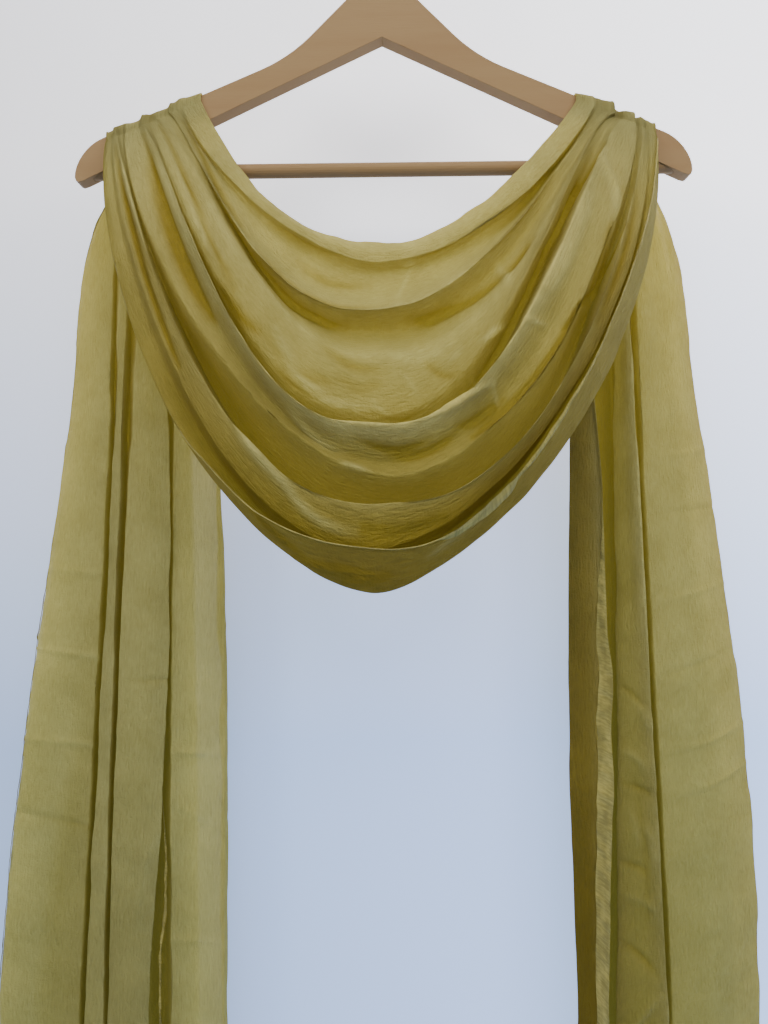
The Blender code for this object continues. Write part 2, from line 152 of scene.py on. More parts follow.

# One row for each fold line of the swag, from its top edge down to its turned-up selvedge.
# left, right: where it leaves the arms, from the middle
# low_x, low_z: its lowest point
# depth: how far in front the cloth hangs there;  tuck: how far the fold is set back from that
# point_l, point_r: how pointed it is at the bottom (2 is a parabola, less is sharper)
# side_l, side_r: how steeply it leaves the arm (1 is straight, less is fuller)
# lift_l, lift_r: how high it lies on each arm, rising across a pleat and dropping at its edge
# crisp_l, crisp_m, crisp_r: how sharply the cloth turns there, on the left, middle and right
# sheer: how few layers lie behind (1 is a single one); low values also paint shade into valleys
# and high ones paint light onto lips
Fold = namedtuple("Fold", "name left right low_x low_z depth tuck point_l side_l point_r side_r"
                          " lift_l lift_r crisp_l crisp_m crisp_r sheer")
SWAG_FOLDS = [Fold(*row) for row in (
    ("top_edge", 129, 137, 10, -247, -16, 0, 2.78, 0.99, 1.6, 0.94, 0.8, 0.8, 0, 0, 0, 0.66),
    ("top_band", 136, 143, 2, -256, -25, 0, 2, 0.85, 1.75, 0.92, 1.5, 2.2, 0, 0, 0, 0.5),
    ("top_roll", 141, 149, -5, -263, -25, 0, 1.65, 0.76, 1.91, 0.9, 2.2, 3, 0.7, 0.8, 0.9, 0.45),
    ("groove", 143.5, 151, -5, -267, -17, 0, 1.75, 0.84, 1.91, 0.96, 2.2, 2, 0, 0.3, 0, 0.3),
    ("valley_1", 148, 153, -6, -285, -33, 10, 2.58, 1.33, 1.83, 1.06, 2.4, 2.5, 0, 0.2, 0, 0.32),
    ("lip_1", 151, 157, -8, -300, -38, -2, 2.43, 1.24, 2.02, 1.26, 3, 3.3, 0.9, 0.8, 0.9, 0.42),
    ("valley_2", 153, 160, -1, -312, -42, 18, 2.76, 1.54, 1.96, 1.2, 0.9, 4, 0, 0, 0, 0.16),
    ("lip_2", 161, 163, -12, -332, -47, 0, 2.12, 1.51, 2.61, 1.56, 1.7, 4.8, 0.9, 0.1, 0, 0.34),
    ("bowl_edge", 165, 164, -3, -372, -60, 0, 2.32, 1.11, 2.18, 1.58, 2.1, 1.2, 0, 0, 0.9, 0.2),
    ("valley_3", 168, 167.5, -4, -390, -66, 16, 2.45, 1.26, 2.3, 1.52, 2.5, 1.3, 0, 0, 0, 0.12),
    ("lip_3", 171, 170, -4, -380.8, -74, -5, 2.57, 1.44, 2.39, 1.47, 3.2, 1.9, 0.9, 0.9, 0.9, 0.8),
    ("crease_3", 173.5, 174, -2, -403, -70, 3, 2.1, 1, 2.05, 0.95, 0.9, 2.4, 0, 0.5, 0, 0.1),
    ("under_3", 182, 178, 0, -412, -70, -1, 1.66, 0.71, 1.83, 0.7, 1.7, 3.2, 0.3, 0.8, 0.95, 0.12),
    ("valley_4", 185, 179, -4, -447, -68, 24, 2, 0.85, 2.1, 0.77, 2, 1, 0, 0, 0, 0.06),
    ("lip_4", 188, 183, -3, -430, -75, -4, 2.35, 0.97, 2.31, 0.86, 2.6, 2.3, 0.9, 0.9, 0.8, 0.22),
    ("under_4", 191, 186, -11, -459, -74, -1, 2.02, 0.79, 1.68, 0.61, 2.8, 1.2, 0.6, 0.8, 0.9, 0),
    ("valley_5", 192, 188, -9, -472, -72, 9, 1.9, 0.7, 1.65, 0.62, 1.4, 1.8, 0, 0, 0, -0.05),
    ("bottom", 196, 192, -11, -486, -72, 2, 1.61, 0.57, 1.53, 0.54, 1.5, 2, 0.5, 0.3, 0.5, 0.02),
    ("selvedge", 196, 193, 2, -457, -80, -3, 2.39, 0.65, 1.9, 0.83, 2, 2.3, 0, 0, 0, 0.06),
)]

# Deep places between the folds; where one is pushed back, painted shade deepens the colour.
# at, reach: where along the fold line, and how far to each side, as parts of its length
# back, out, up: how far the fold line is pushed back, away from the middle and up there
Pocket = namedtuple("Pocket", "fold at reach back out up")
POCKETS = [Pocket(*row) for row in (
    ("groove", 0.84, 0.1, 5, 0, 0), ("valley_1", 0.82, 0.11, 16, 0, 0),
    ("valley_2", 0.25, 0.09, 10, 0, 0), ("valley_3", 0.8, 0.12, 20, 0, 3),
    ("valley_3", 0.24, 0.09, 8, 0, 2), ("under_3", 0.83, 0.09, 0, -5, 0),
    ("valley_4", 0.81, 0.08, 14, -2, 0), ("valley_4", 0.25, 0.12, 10, 0, 0),
    ("valley_5", 0.72, 0.1, 14, 0, 0), ("selvedge", 0.86, 0.12, -4, 2, 0),
)]

# How wide a selvedge shows at places along it, as parts of its edge's length
Width = namedtuple("Width", "at width")
SWAG_SELVEDGE = [Width(*row) for row in (
    (0.3, 0.2), (0.36, 0.9), (0.55, 1), (0.568, 6.5), (0.6, 8.5), (0.628, 7), (0.64, 3),
    (0.66, 3.6), (0.69, 4.6), (0.715, 1.6), (0.74, 2.4), (0.78, 1.2), (1, 0.9),
)]
RIGHT_SELVEDGE = [Width(*row) for row in (
    (0, 0.2), (0.3, 0.4), (0.42, 10), (0.55, 13), (1, 12.5),
)]
LEFT_SELVEDGE = [Width(0, 2)]

# One row for each fold of a hanging panel, in the same order as the swag's folds.
# x, y: where the fold hangs from LOW_LEVEL down
# bend: how soon it gets there (1 is a straight line);  sway: how far it bows sideways halfway
# flare: how far it swings sideways just below the arm
# crisp: how sharply the cloth turns there;  sheer: how few layers lie behind, also painting shade
# into recesses and light onto outer bands
Hang = namedtuple("Hang", "x y bend sway flare crisp sheer")
LEFT_HANGS = [Hang(*row) for row in (
    (-131, 40, 2.5, 0, 0, 0, 0.7), (-129, 38, 2.8, 0, 0, 0.5, 0.6), (-127, 34, 3, 4, 0, 0.9, 1.05),
    (-128, 27, 4, 4, 0, 0.9, 1.05), (-145, 22, 3, 2, 0, 0, 1), (-165.5, 18, 2, 1.7, 0, 0.8, 0.5),
    (-171.5, 25, 1.6, 1, 0, 0.3, 0.12), (-187, 30, 1.2, 8, 0, 0, 0.3),
    (-186, 25, 1.2, 11, 0, 0, 0.25), (-181.5, 14, 1.2, 14, 0, 0.95, 0.5),
    (-192, 9.5, 1, 7, 0, 0, 0.45), (-209, 10, 1.4, 1, 0, 0.8, 0.45),
    (-211, 20, 1.3, 1.2, 0, 0.9, -0.05), (-213, 10, 1.3, 1.2, 0, 0.8, 0.5),
    (-226.5, 10, 1.1, 1.5, -1.5, 0.8, 0.45), (-229.5, 20, 1.1, 1.5, -2.5, 0.9, 0),
    (-231.5, 11, 1.1, 1.5, -3, 0.6, 0.4), (-291, 15, 1.3, -1.9, -12.4, 0.95, 1.1),
    (-294, 21, 1.3, -1.9, -12.4, 0, 1.1),
)]
RIGHT_HANGS = [Hang(*row) for row in (
    (161, 17, 2, 7, 0, 0, 0.4), (154, 18, 2.4, 5, 0, 0, 0.25), (145.5, 20, 2.8, -3, 0, 0, 0.1),
    (138, 24, 3, -5, 0, 0.9, 0.1), (144, 29, 3, -4, 0, 0.6, 0), (157.5, 32, 3, 0, 0, 0, 0),
    (167, 37, 2.5, 3, 0, 0, -0.05), (180, 40, 1.8, 3, 0, 0, 0), (178, 30, 1.6, 3, 0, 0, 0.1),
    (167.5, 24, 1.6, 3, 0, 0.9, 0.25), (184, 15, 1.3, 0, 0, 0, 0.25),
    (200.5, 9, 1.2, -2, 0, 0.95, 0.45), (202.5, 20, 1.2, -2, 0, 0.9, -0.05),
    (205, 12, 1.2, -1, 1, 0.6, 0.4), (235, 13, 1.4, 0, 6, 0, 0.5), (255, 15, 1.6, 1.5, 10, 0, 0.8),
    (272.5, 20, 1.8, 3, 12.9, 0.9, 1.45), (265.5, 29, 1.8, 3, 12, 0, 1.4),
    (250, 33, 1.7, 0, 10, 0, 1.2),
)]

# Main creases, each a soft ridge or trough between two places on the cloth.
# at, row: its start, as a part of the fold line's length and as a place among the folds
# to_at, to_row: its end;  bow: how far its middle bends to one side, in rows
# width, height: its size in millimetres;  a trough has a negative height
Crease = namedtuple("Crease", "at row to_at to_row bow width height")
SWAG_CREASES = [Crease(*row) for row in (
    (0.015, 7.45, 0.27, 7.7, 0, 1.8, -2.8), (0.015, 7.15, 0.26, 7.3, 0, 2.6, 1.1),
    (0.015, 10.75, 0.26, 11, 0, 1.8, -2.8), (0.015, 10.4, 0.25, 10.5, 0, 2.6, 1.1),
    (0.015, 14.45, 0.25, 14.7, 0, 1.8, -2.8), (0.015, 14.1, 0.25, 14.2, 0, 2.6, 1.1),
    (0.95, 9.65, 0.79, 8.5, 0, 2.8, -4.2), (0.82, 8.65, 0.63, 8.75, 0, 2.6, -3),
    (0.88, 13.8, 0.74, 11.6, 0, 2.4, -3.4), (0.76, 11.7, 0.59, 11.6, 0, 2.2, -2.6),
    (0.72, 16.2, 0.56, 15.6, 0, 2.4, -3), (0.346, 7.7, 0.442, 7.6, 0.1, 3, -1.4),
    (0.362, 8, 0.45, 7.8, 0.1, 2.5, -1.4), (0.446, 7.5, 0.5, 7.5, 0.1, 2.5, -1),
    (0.488, 7.8, 0.512, 8.1, 0, 2, 1.2), (0.346, 7.5, 0.488, 7.9, 0.2, 4, 1.8),
    (0.412, 7, 0.5, 7.3, 0.1, 4, -1.4), (0.508, 7, 0.588, 7.2, 0.1, 3.5, 1.4),
    (0.521, 7.4, 0.546, 7.9, -0.1, 1.8, 0.7), (0.642, 7.7, 0.688, 8.4, 0, 2.4, 2),
    (0.583, 7.5, 0.608, 7.5, 0, 2.2, 1.4), (0.5, 8.1, 0.546, 8.2, 0.1, 2, -1),
    (0.55, 7.2, 0.6, 7.9, 0.1, 2.6, -1.2), (0.471, 10.5, 0.546, 10.6, 0.1, 2.4, -1.7),
    (0.392, 10.6, 0.454, 10.9, 0.1, 3, 1.4), (0.504, 10.8, 0.575, 10.8, 0.1, 3, -1.5),
    (0.45, 12, 0.479, 11.9, 0, 2, 1.4), (0.558, 10.1, 0.633, 10.5, -0.1, 2.6, 2.7),
    (0.633, 10.5, 0.629, 11.3, 0, 1.7, 1.3), (0.7, 10.1, 0.725, 10.8, 0, 1.8, 1.2),
    (0.579, 10.7, 0.638, 11.2, 0.1, 3, -1.8), (0.87, 10.3, 0.74, 10.4, 0.1, 5, 1.8),
    (0.4, 14.3, 0.475, 14.6, 0.1, 3, 2), (0.483, 14.5, 0.554, 14.7, 0.1, 3, -1.5),
    (0.342, 14.1, 0.412, 14.3, 0, 3, 1.8), (0.425, 17.2, 0.492, 17.5, 0.1, 2.4, -1.7),
    (0.454, 15.7, 0.533, 15.8, 0.1, 2.4, -1.7), (0.471, 17.3, 0.508, 17.5, 0, 2, -1.4),
    (0.542, 17.6, 0.6, 17.7, 0.1, 2.4, 1.5), (0.388, 17.8, 0.433, 17.4, 0, 2.4, -1.5),
    (0.283, 4.6, 0.508, 4.6, 0.1, 2.6, -1.8), (0.258, 6.5, 0.446, 5.8, 0, 3.5, -2.1),
    (0.529, 2.8, 0.554, 2.7, 0, 1.8, 1.7), (0.55, 2.9, 0.529, 4.4, 0, 1.5, 1),
    (0.642, 2.2, 0.783, 2.3, 0, 2.2, -1.7), (0.55, 2.4, 0.642, 2.3, 0.1, 2.2, -1.7),
    (0.542, 5.7, 0.704, 6.6, 0.1, 4.5, -2.4), (0.704, 6.7, 0.762, 6.75, 0, 3.5, -2.1),
    (0.7, 5.8, 0.7, 7.2, 0, 3, 1), (0.35, 3.6, 0.475, 3.6, 0.1, 3.5, -1.5),
    (0.271, 3, 0.417, 2.4, 0.1, 2.6, -1.5), (0.03, 3.9, 0.254, 4.5, 0.1, 3, -1.8),
    (0.033, 7.6, 0.233, 7.6, 0.1, 4.5, 1.5), (0.05, 11, 0.25, 11.2, 0.1, 3.5, -1.8),
    (0.075, 14.4, 0.25, 14, 0, 3, -1.5), (0.242, 8, 0.338, 7.7, 0.1, 3.5, -1.7),
    (0.938, 9.8, 0.858, 12.6, 0.2, 3.5, 2.1), (0.912, 11.6, 0.8, 12.5, 0.1, 3, -1.7),
    (0.938, 14.3, 0.779, 14.4, 0.1, 3, -1.5), (0.87, 5, 0.65, 5, 0.1, 4, -1.4),
    (0.15, 9.5, 0.3, 9.3, 0.2, 4, -1.7), (-0.06, 2.5, 0.01, 3.2, 0.1, 3, 1.5),
    (-0.055, 8.4, 0, 8, 0.1, 3, -1.4), (-0.065, 13, -0.005, 12.4, 0.1, 3, 1.4),
    (1, 3.2, 1.06, 2.4, 0.1, 3, 1.5), (0.995, 9, 1.055, 9.6, 0.1, 3, -1.4),
    (1.005, 15, 1.065, 14.2, 0.1, 3, 1.4),
)]
LEFT_CREASES = [Crease(*row) for row in (
    (0.42, 15.8, 0.42, 17.1, 0.1, 2.2, 1.3), (0.513, 15.7, 0.508, 17.1, 0.1, 2.2, 1.5),
    (0.607, 15.7, 0.612, 17.1, 0.1, 2.2, 1.4), (0.53, 3.3, 0.535, 4.8, 0.1, 2.4, 1.5),
    (0.58, 4.6, 0.595, 3.6, 0.2, 2.2, 1.3), (0.49, 9, 0.5, 10.6, 0, 2.2, -1.2),
    (0.7, 3, 0.71, 5, 0.2, 2.4, 0.8), (0.7, 15.7, 0.69, 17.1, 0.2, 2.2, -1.3),
    (0.62, 9.2, 0.74, 10, 0.2, 4, 1.3), (0.15, 16.5, 0.55, 16.7, 0.1, 6, 1.3),
    (0.08, 9.5, 0.35, 9.9, 0.1, 3.5, -1.1), (0.6, 16.2, 0.98, 16.4, 0.1, 7, -1.4),
    (0.1, 4.3, 0.48, 4.1, 0.2, 5, 1.3), (0.52, 4.4, 0.95, 4.6, 0.2, 5, -1.1),
    (0.4, 0, 0.41, 2, 0.1, 2.4, 0.8), (0.59, 0, 0.58, 2, 0.1, 2.4, -0.8),
    (0.2, 6.2, 0.55, 6.8, 0.2, 4, 1.4), (0.55, 6.9, 0.9, 6.3, 0.2, 4, -1.3),
    (0.86, 9.3, 0.97, 9.9, 0, 3, 1.1), (0.5, 17.6, 0.51, 18, 0, 2.4, 0.8),
)]
RIGHT_CREASES = [Crease(*row) for row in (
    (0.352, 13.3, 0.358, 16, 0.1, 2.2, -1.2), (0.442, 13.3, 0.442, 16, 0.1, 2.2, 1.3),
    (0.602, 13.3, 0.598, 16, 0.1, 2.2, 1.5), (0.648, 13.3, 0.642, 16, 0.2, 2.2, 1.3),
    (0.52, 13.3, 0.516, 15.2, 0.2, 2.4, -1.1), (0.29, 13.6, 0.294, 15.8, 0.2, 2.4, 1),
    (0.505, 9.3, 0.535, 10.4, 0.2, 2.6, -1.7), (0.52, 10, 0.56, 10.7, 0.1, 3, 1.3),
    (0.57, 9.3, 0.595, 10.3, 0.3, 3, 1.7), (0.602, 9.4, 0.622, 10.6, 0.2, 2.6, -1.7),
    (0.628, 9.6, 0.668, 10, 0.1, 2.8, 1.4), (0.645, 10.2, 0.69, 10.6, 0.1, 2.6, 1.4),
    (0.68, 9.3, 0.7, 10.2, 0.2, 2.6, -1.5), (0.715, 9.5, 0.742, 10.6, 0.2, 2.8, 1.5),
    (0.6, 9.9, 0.75, 10.2, 0.2, 2.4, -1.1), (0.76, 9.4, 0.8, 10.5, 0.1, 2.6, -1.8),
    (0.82, 10.5, 0.85, 9.5, 0.1, 2.4, 1.8), (0.87, 9.4, 0.92, 10.6, 0.2, 2.6, 1.6),
    (0.93, 10.6, 0.97, 9.6, 0.1, 2.4, -1.6), (0.08, 10.2, 0.46, 10.5, 0.2, 4, 1.3),
    (0.14, 13.9, 0.52, 14.3, 0.2, 6, -1.2), (0.5, 14.6, 0.95, 14, 0.2, 6, 1.2),
    (0.05, 12.7, 0.3, 12.9, 0.1, 3, -0.8), (0.36, 17, 0.365, 18, 0.1, 2.4, 0.8),
    (0.56, 17, 0.555, 18, 0.1, 2.4, -0.8), (0.2, 5.6, 0.6, 6.3, 0.2, 4, 1.4),
    (0.58, 7.3, 0.92, 6.8, 0.2, 4, -1.2), (0.3, 3.6, 0.6, 4.2, 0.2, 3, 1.2),
    (0.62, 4.3, 0.9, 3.7, 0.2, 3, -1.2),
)]

# The free edge that hangs in the left panel's recess: where it lies at each height
Place = namedtuple("Place", "z x")
RECESS_EDGE = [Place(*row) for row in (
    (-575, -172), (-641, -170.5), (-660, -168.6), (-696, -166), (-712, -168.4), (-730, -166.5),
    (-753, -171.9), (-811, -172.6), (-900, -171), (-950, -172),
)]
RECESS_STEPS = 220
RECESS_EASE = 8             # in steps
RECESS_WIDTH = 2.4
RECESS_DEPTH = 16.0


# ---- settings

COLOUR = {"subtype": "COLOR", "size": 3, "min": 0.0, "max": 1.0}


class StoleClothSettings(bpy.types.PropertyGroup):
    """Colours and fineness of the chiffon."""
    colour: FloatVectorProperty(
        name="Chiffon", description="Colour of the dyed chiffon in plain light",
        default=(0.350, 0.314, 0.112), **COLOUR)
    glow: FloatVectorProperty(
        name="Glow", description="Colour of the light that comes through the chiffon",
        default=(0.50, 0.37, 0.040), **COLOUR)
    # The pale and deep colours also serve as painted light and shade: the sheer values put the
    # pale one on lit crests and the deep one in shaded valleys
    pale_colour: FloatVectorProperty(
        name="Pale chiffon", description="Colour of a single layer of the chiffon",
        default=(0.630, 0.545, 0.175), **COLOUR)
    deep_colour: FloatVectorProperty(
        name="Deep chiffon", description="Colour of the chiffon where many layers lie together",
        default=(0.158, 0.111, 0.010), **COLOUR)
    selvedge: FloatVectorProperty(
        name="Selvedge", description="Colour of the lustrous woven edge",
        default=(0.310, 0.255, 0.066), **COLOUR)
    see_through: FloatProperty(
        name="See-through", description="Share of the light that passes through one layer",
        subtype="FACTOR", min=0.0, max=1.0, default=0.5)
    crinkle: FloatProperty(
        name="Crinkle", description="Height of the crinkle that is woven into the cloth",
        subtype="DISTANCE", unit="LENGTH", min=0.0, default=0.0016)
    rows_per_fold: IntProperty(
        name="Rows per fold", description="Faces between one fold line and the next",
        min=2, max=20, default=11)
    columns: IntProperty(
        name="Columns", description="Faces along the swag between the arms",
        min=40, max=600, default=370)
    panel_columns: IntProperty(
        name="Panel columns", description="Faces down each hanging panel",
        min=20, max=600, default=420)


class StoleHangerSettings(bpy.types.PropertyGroup):
    """Colours of the hanger."""
    wood: FloatVectorProperty(
        name="Wood", description="Colour of the hanger's wood",
        default=(0.218, 0.130, 0.050), **COLOUR)
    wood_dark: FloatVectorProperty(
        name="Dark grain", description="Colour of the wood's darker grain",
        default=(0.203, 0.116, 0.043), **COLOUR)
    steel: FloatVectorProperty(
        name="Hook steel", description="Colour of the bent wire hook",
        default=(0.60, 0.60, 0.61), **COLOUR)


class StoleStageSettings(bpy.types.PropertyGroup):
    """Camera, light and the pale surroundings."""
    camera_distance: FloatProperty(
        name="Camera distance", description="From the lens to the hanger's middle",
        subtype="DISTANCE", unit="LENGTH", min=0.1, default=0.5535)
    camera_height: FloatProperty(
        name="Camera height", description="Height of the lens, from the hook's inner top",
        subtype="DISTANCE", unit="LENGTH", default=-0.435)
    wall_gap: FloatProperty(
        name="Wall gap", description="From the hanger's middle back to the wall",
        subtype="DISTANCE", unit="LENGTH", min=0.0, default=0.070)
    wall_colour: FloatVectorProperty(
        name="Wall", description="Colour of the pale wall",
        default=(0.800, 0.785, 0.800), **COLOUR)
    # Painted cool light: the bluer colour the wall and floor take lower down
    low_painted_cool_light: FloatVectorProperty(
        name="Low wall", description="Cooler colour of the wall lower down, and of the floor",
        default=(0.345, 0.465, 0.710), **COLOUR)
    wall_glow: FloatProperty(
        name="Wall glow", description="How strongly the wall is lit from within",
        min=0.0, default=1.30)
    key_power: FloatProperty(
        name="Key light", description="Power of each of the two large lights above the front",
        subtype="POWER", unit="POWER", min=0.0, default=4.8)
    top_power: FloatProperty(
        name="Top light", description="Power of the wide light overhead",
        subtype="POWER", unit="POWER", min=0.0, default=31.0)
    sky: FloatProperty(
        name="Sky light", description="Strength of the even light from all round",
        min=0.0, default=0.60)


# ---- fold lines

def arm_top(x):
    """Height of the arms' top edge at a distance x from the middle."""
    return ARM_START[1] - (np.abs(x) - ARM_START[0]) * ARM_SLOPE


def even_spacing(points, count):
    """The same line at count + 1 points, spaced evenly along its length."""
    steps = np.linalg.norm(np.diff(points, axis=0), axis=1)
    along = np.concatenate(([0.0], np.cumsum(steps)))
    wanted = np.linspace(0.0, along[-1], count + 1)
    return np.column_stack([np.interp(wanted, along, axis) for axis in points.T])


def swag_line(fold, count):
    """One fold line from the left arm down to its lowest point and up to the right arm.

    Height falls from each arm as (1 - across ** point) ** side, where across runs from 1 at
    the arm to 0 at the lowest point; depth swings out as a power of a sine of the length.
    """
    across = np.cos(np.linspace(0.0, math.pi / 2, LINE_SAMPLES))
    halves = []
    for end, point, side in ((-fold.left, fold.point_l, fold.side_l),
                             (fold.right, fold.point_r, fold.side_r)):
        start_z = arm_top(end) - OVER_ARM_START - SEAM_RUN
        x = fold.low_x + (end - fold.low_x) * across
        z = start_z + (fold.low_z - start_z) * (1.0 - across ** point) ** side
        halves.append(np.column_stack((x, z)))
    left, right = halves
    line = even_spacing(np.vstack((left, right[-2::-1])), count)
    part = np.linspace(0.0, 1.0, count + 1)
    lift = fold.lift_l + (fold.lift_r - fold.lift_l) * part
    clear = BOARD_THICKNESS / 2 + ARM_CLEARANCE + lift
    swing = np.sin(math.pi * part)
    y = -clear + (fold.depth + clear) * swing ** DEPTH_ROUNDNESS + fold.tuck * swing ** 2
    x, z = line.T.copy()
    for pocket in POCKETS:
        if pocket.fold == fold.name:
            inside = np.exp(-((part - pocket.at) / pocket.reach) ** 2) * np.minimum(4 * swing, 1.0)
            x += pocket.out * inside * (1 if pocket.at > 0.5 else -1)
            y += pocket.back * inside
            z += pocket.up * inside
    return np.column_stack((x, np.minimum(y, -clear), z))


def on_arm(fold, side):
    """Where a fold crosses an arm, from the middle, and how high it lies there."""
    return (-fold.left, fold.lift_l) if side < 0 else (fold.right, fold.lift_r)


def over_arm_line(fold, side, count):
    """One fold line from the front of an arm over its top and down behind it."""
    x, lift = on_arm(fold, side)
    top = arm_top(x)
    clear = ARM_CLEARANCE + lift
    radius = BOARD_EDGE_RADIUS + clear
    corner_y = BOARD_THICKNESS / 2 - BOARD_EDGE_RADIUS
    corner_z = top - BOARD_EDGE_RADIUS
    turn = np.radians(np.linspace(0.0, 90.0, 12))
    front = np.column_stack((-corner_y - radius * np.cos(turn), corner_z + radius * np.sin(turn)))
    back = np.column_stack((corner_y + radius * np.sin(turn), corner_z + radius * np.cos(turn)))
    behind = BOARD_THICKNESS / 2 + clear
    first = (-behind, top - OVER_ARM_START - SEAM_RUN)
    last = (behind, top - BACK_DROP)
    section = even_spacing(np.vstack(([first], front, back, [last])), count)
    return np.column_stack((np.full(len(section), x), section))


def panel_line(fold, hang, side, drop, count):
    """One fold line of a panel from behind the arm down to the hem.

    It goes from where the fold leaves the arm to where it hangs low down, as one less a power
    of the height that is left, with a bow and a flare sideways.  It swings back sooner than it
    spreads.
    """
    x0, lift = on_arm(fold, side)
    y0 = BOARD_THICKNESS / 2 + ARM_CLEARANCE + lift
    z0 = arm_top(x0) - BACK_DROP
    z = np.linspace(z0, z0 - drop, count + 1)
    still = 1.0 - np.minimum((z0 - z) / (z0 - LOW_LEVEL), 1.0)
    x = x0 + (hang.x - x0) * (1.0 - still ** hang.bend) + hang.sway * np.sin(math.pi * still)
    x += hang.flare * np.sin(math.pi * still ** 7)
    y = y0 + (hang.y - y0) * (1.0 - still ** SWING_BACK)
    return np.column_stack((x, y, z))


def line_length(line):
    """Length of a line of points."""
    return np.linalg.norm(np.diff(line, axis=0), axis=1).sum()


def panel_drops():
    """Length left for each fold line of a panel once the swag and the arms have taken theirs."""
    over_arm = line_length(over_arm_line(SWAG_FOLDS[0], 1, 30))
    inner, outer = ((CLOTH_LENGTH - line_length(swag_line(fold, 60))) / 2 - over_arm
                    for fold in (SWAG_FOLDS[0], SWAG_FOLDS[-2]))
    return np.linspace(inner, outer, len(SWAG_FOLDS))


def fold_crispness(fold, count):
    """How sharply the cloth turns along a swag's fold line, eased between its three values."""
    return np.interp(np.linspace(0.0, 1.0, count), (0.0, 0.2, 0.5, 0.8, 1.0),
                     (fold.crisp_l, fold.crisp_l, fold.crisp_m, fold.crisp_r, fold.crisp_r))


def between_folds(lines, crisp, extra):
    """Add rows between fold lines on a centripetal Catmull-Rom curve through them.

    crisp shortens the curve's tangents at a fold line: at 1 they vanish and the cloth has a
    crease there, with its rows crowded close to it.
    """
    lines = np.asarray(lines)
    soft = 1.0 - np.asarray(crisp)[..., None]
    before = 2 * lines[0] - lines[1]
    after = 2 * lines[-1] - lines[-2]
    padded = np.concatenate(([before], lines, [after]))
    rows = [lines[0]]
    for row in range(len(lines) - 1):
        a, b, c, d = padded[row:row + 4]
        step = [np.sqrt(np.linalg.norm(q - p, axis=1, keepdims=True)) + 1e-9
                for p, q in ((a, b), (b, c), (c, d))]
        leave = ((b - a) / step[0] - (c - a) / (step[0] + step[1]) + (c - b) / step[1]) * step[1]
        arrive = ((c - b) / step[1] - (d - b) / (step[1] + step[2]) + (d - c) / step[2]) * step[1]
        leave, arrive = leave * soft[row], arrive * soft[row + 1]
        for t in np.linspace(0.0, 1.0, extra + 1)[1:]:
            rows.append((2 * t ** 3 - 3 * t ** 2 + 1) * b + (t ** 3 - 2 * t ** 2 + t) * leave
                        + (3 * t ** 2 - 2 * t ** 3) * c + (t ** 3 - t ** 2) * arrive)
    return np.array(rows)


# ---- cloth surface detail

def soft_noise(x, y, wave, seed):
    """Smooth random waves: values at a grid of points, up to the wave's reach, eased between."""
    random = np.random.default_rng(seed)
    lattice = random.uniform(-1.0, 1.0, (64, 64))
    gx, gy = x / wave.length, y / wave.breadth
    ix, iy = np.floor(gx).astype(int), np.floor(gy).astype(int)
    fx, fy = gx - ix, gy - iy
    fx, fy = (f * f * f * (f * (f * 6 - 15) + 10) for f in (fx, fy))
    corners = [lattice[(ix + i) % 64, (iy + j) % 64] for j in (0, 1) for i in (0, 1)]
    return between_corners(corners, fx, fy) * wave.reach


def between_corners(corners, over, down):
    """Values between four corners, by the share of the way over and the share down."""
    a, b, c, d = corners
    return (a * (1 - over) + b * over) * (1 - down) + (c * (1 - over) + d * over) * down


def crease_heights(grid, creases, first, last, per_fold):
    """Height of the creases at every point of a grid.

    A crease runs along a gently bowed line between its two places on the cloth.  Its height
    falls off as a Gaussian of the distance to that line, and eases to nothing at both ends.
    first and last are the grid's columns where the fold lines start and end.
    """
    height = np.zeros(grid.shape[:2])
    for crease in creases:
        short = abs(crease.to_at - crease.at) < LONG_CREASE
        share = np.linspace(0.0, 1.0, SHORT_SAMPLES if short else LONG_SAMPLES)
        at = crease.at + (crease.to_at - crease.at) * share
        row = crease.row + (crease.to_row - crease.row) * share
        row = row + crease.bow * np.sin(math.pi * share)
        rows = np.clip(row * per_fold, 0, grid.shape[0] - 1.001)
        columns = np.clip(first + at * (last - first), 0, grid.shape[1] - 1.001)
        reach = int(1.2 * per_fold)
        top, low = max(int(rows.min()) - reach, 0), int(rows.max()) + reach + 1
        left = max(int(columns.min()) - CREASE_REACH, 0)
        right = int(columns.max()) + CREASE_REACH + 1
        near = grid[top:low, left:right]
        i, j = rows.astype(int), columns.astype(int)
        down, over = (rows - i)[:, None], (columns - j)[:, None]
        corners = (grid[i, j], grid[i, j + 1], grid[i + 1, j], grid[i + 1, j + 1])
        line = between_corners(corners, over, down)
        gaps = np.linalg.norm(near[:, :, None] - line, axis=-1)
        closest = gaps.argmin(axis=-1)
        fade = np.sin(math.pi * np.clip(share, 0.03, 0.97)) ** 0.5
        shape = np.exp(-(gaps.min(axis=-1) / crease.width) ** 2) * fade[closest]
        height[top:low, left:right] += crease.height * shape
    return height


def crumple(grid, height, turn, loose, seed):
    """The draped surface with its creases and its uneven softness.

    It moves along its normals by the creases' height and by two sizes of smooth waves; a third
    wave bends the fold lines themselves up and down a little.  loose scales the waves.
    """
    along, across = sheet_coordinates(grid)
    waves = height + loose * (soft_noise(along, across, BILLOWS, seed)
                              + soft_noise(along, across, WRINKLES, seed + 1))
    shaped = grid + grid_normals(grid) * (turn * waves)[..., None]
    shaped[..., 2] += soft_noise(along, across, FOLD_WANDER, seed + 2) * loose
    return shaped, along, across


